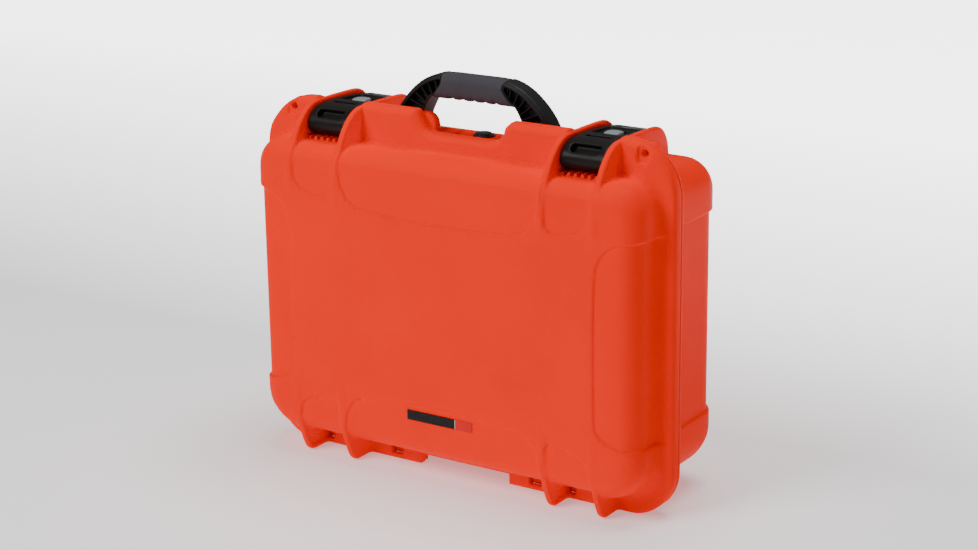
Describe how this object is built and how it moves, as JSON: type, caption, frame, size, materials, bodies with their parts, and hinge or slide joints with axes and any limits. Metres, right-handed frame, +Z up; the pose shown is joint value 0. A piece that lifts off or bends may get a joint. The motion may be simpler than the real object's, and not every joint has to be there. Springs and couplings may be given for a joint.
{
  "type": "hard equipment case",
  "caption": "Ribbed orange hard case with hinged lid, two press-release latches, folding handle, pressure valve and padlock holes.",
  "frame": {"origin": "centre of the footprint, on the surface that the case stands on", "axes": "+X along the hinge line, +Y from lid to base, +Z up from the hinge side to the handle"},
  "size_m": [0.478, 0.172, 0.4075],
  "materials": {
    "case_orange": "moulded, fine sand texture, satin",
    "latch_black": "moulded glass-filled nylon, satin",
    "handle_black": "moulded glass-filled nylon, satin",
    "grip_rubber": "soft overmould, matt",
    "button_grey": "moulded, smooth satin",
    "seal_rubber": "moulded rubber",
    "pin_steel": "drawn stainless rod",
    "spring_steel": "spring wire",
    "valve_black": "moulded, satin",
    "badge_black": "blank plate, satin",
    "badge_red": "blank tab, gloss"
  },
  "bodies": {
    "base": {"base_shell": "case_orange", "hinge_pin_right": "pin_steel", "hinge_pin_left": "pin_steel", "handle_pins": "pin_steel", "valve_body": "valve_black", "valve_cap": "valve_black", "valve_seal": "seal_rubber", "valve_nut": "valve_black"},
    "lid": {"lid_shell": "case_orange", "lid_gasket": "seal_rubber", "badge_plate": "badge_black", "badge_tab": "badge_red", "latch_pin_right": "pin_steel", "latch_pin_left": "pin_steel"},
    "handle": {"handle_frame": "handle_black", "handle_grip": "grip_rubber"},
    "latch_right": {"latch_lever_right": "latch_black", "button_pin_right": "pin_steel"},
    "button_right": {"release_button_right": "button_grey", "release_catch_right": "latch_black", "button_spring_right": "spring_steel"},
    "latch_left": {"latch_lever_left": "latch_black", "button_pin_left": "pin_steel"},
    "button_left": {"release_button_left": "button_grey", "release_catch_left": "latch_black", "button_spring_left": "spring_steel"}
  },
  "joints": [
    {"name": "lid_hinge", "type": "hinge", "parent": "base", "child": "lid", "pos_m": [0, -0.026, 0.009], "axis": [1, 0, 0], "range_deg": [0, 95]},
    {"name": "handle_fold", "type": "hinge", "parent": "base", "child": "handle", "pos_m": [0, -0.0045, 0.35], "axis": [1, 0, 0], "range_deg": [-90, 0]},
    {"name": "latch_right_lift", "type": "hinge", "parent": "lid", "child": "latch_right", "pos_m": [0, -0.045, 0.349], "axis": [1, 0, 0], "range_deg": [0, 100]},
    {"name": "button_right_press", "type": "hinge", "parent": "latch_right", "child": "button_right", "pos_m": [0, 0.0175, 0.358], "axis": [1, 0, 0], "range_deg": [0, 8], "stiffness_Nm_per_rad": 0.3, "springref_deg": -5.73},
    {"name": "latch_left_lift", "type": "hinge", "parent": "lid", "child": "latch_left", "pos_m": [0, -0.045, 0.349], "axis": [1, 0, 0], "range_deg": [0, 100]},
    {"name": "button_left_press", "type": "hinge", "parent": "latch_left", "child": "button_left", "pos_m": [0, 0.0175, 0.358], "axis": [1, 0, 0], "range_deg": [0, 8], "stiffness_Nm_per_rad": 0.3, "springref_deg": -5.73}
  ]
}
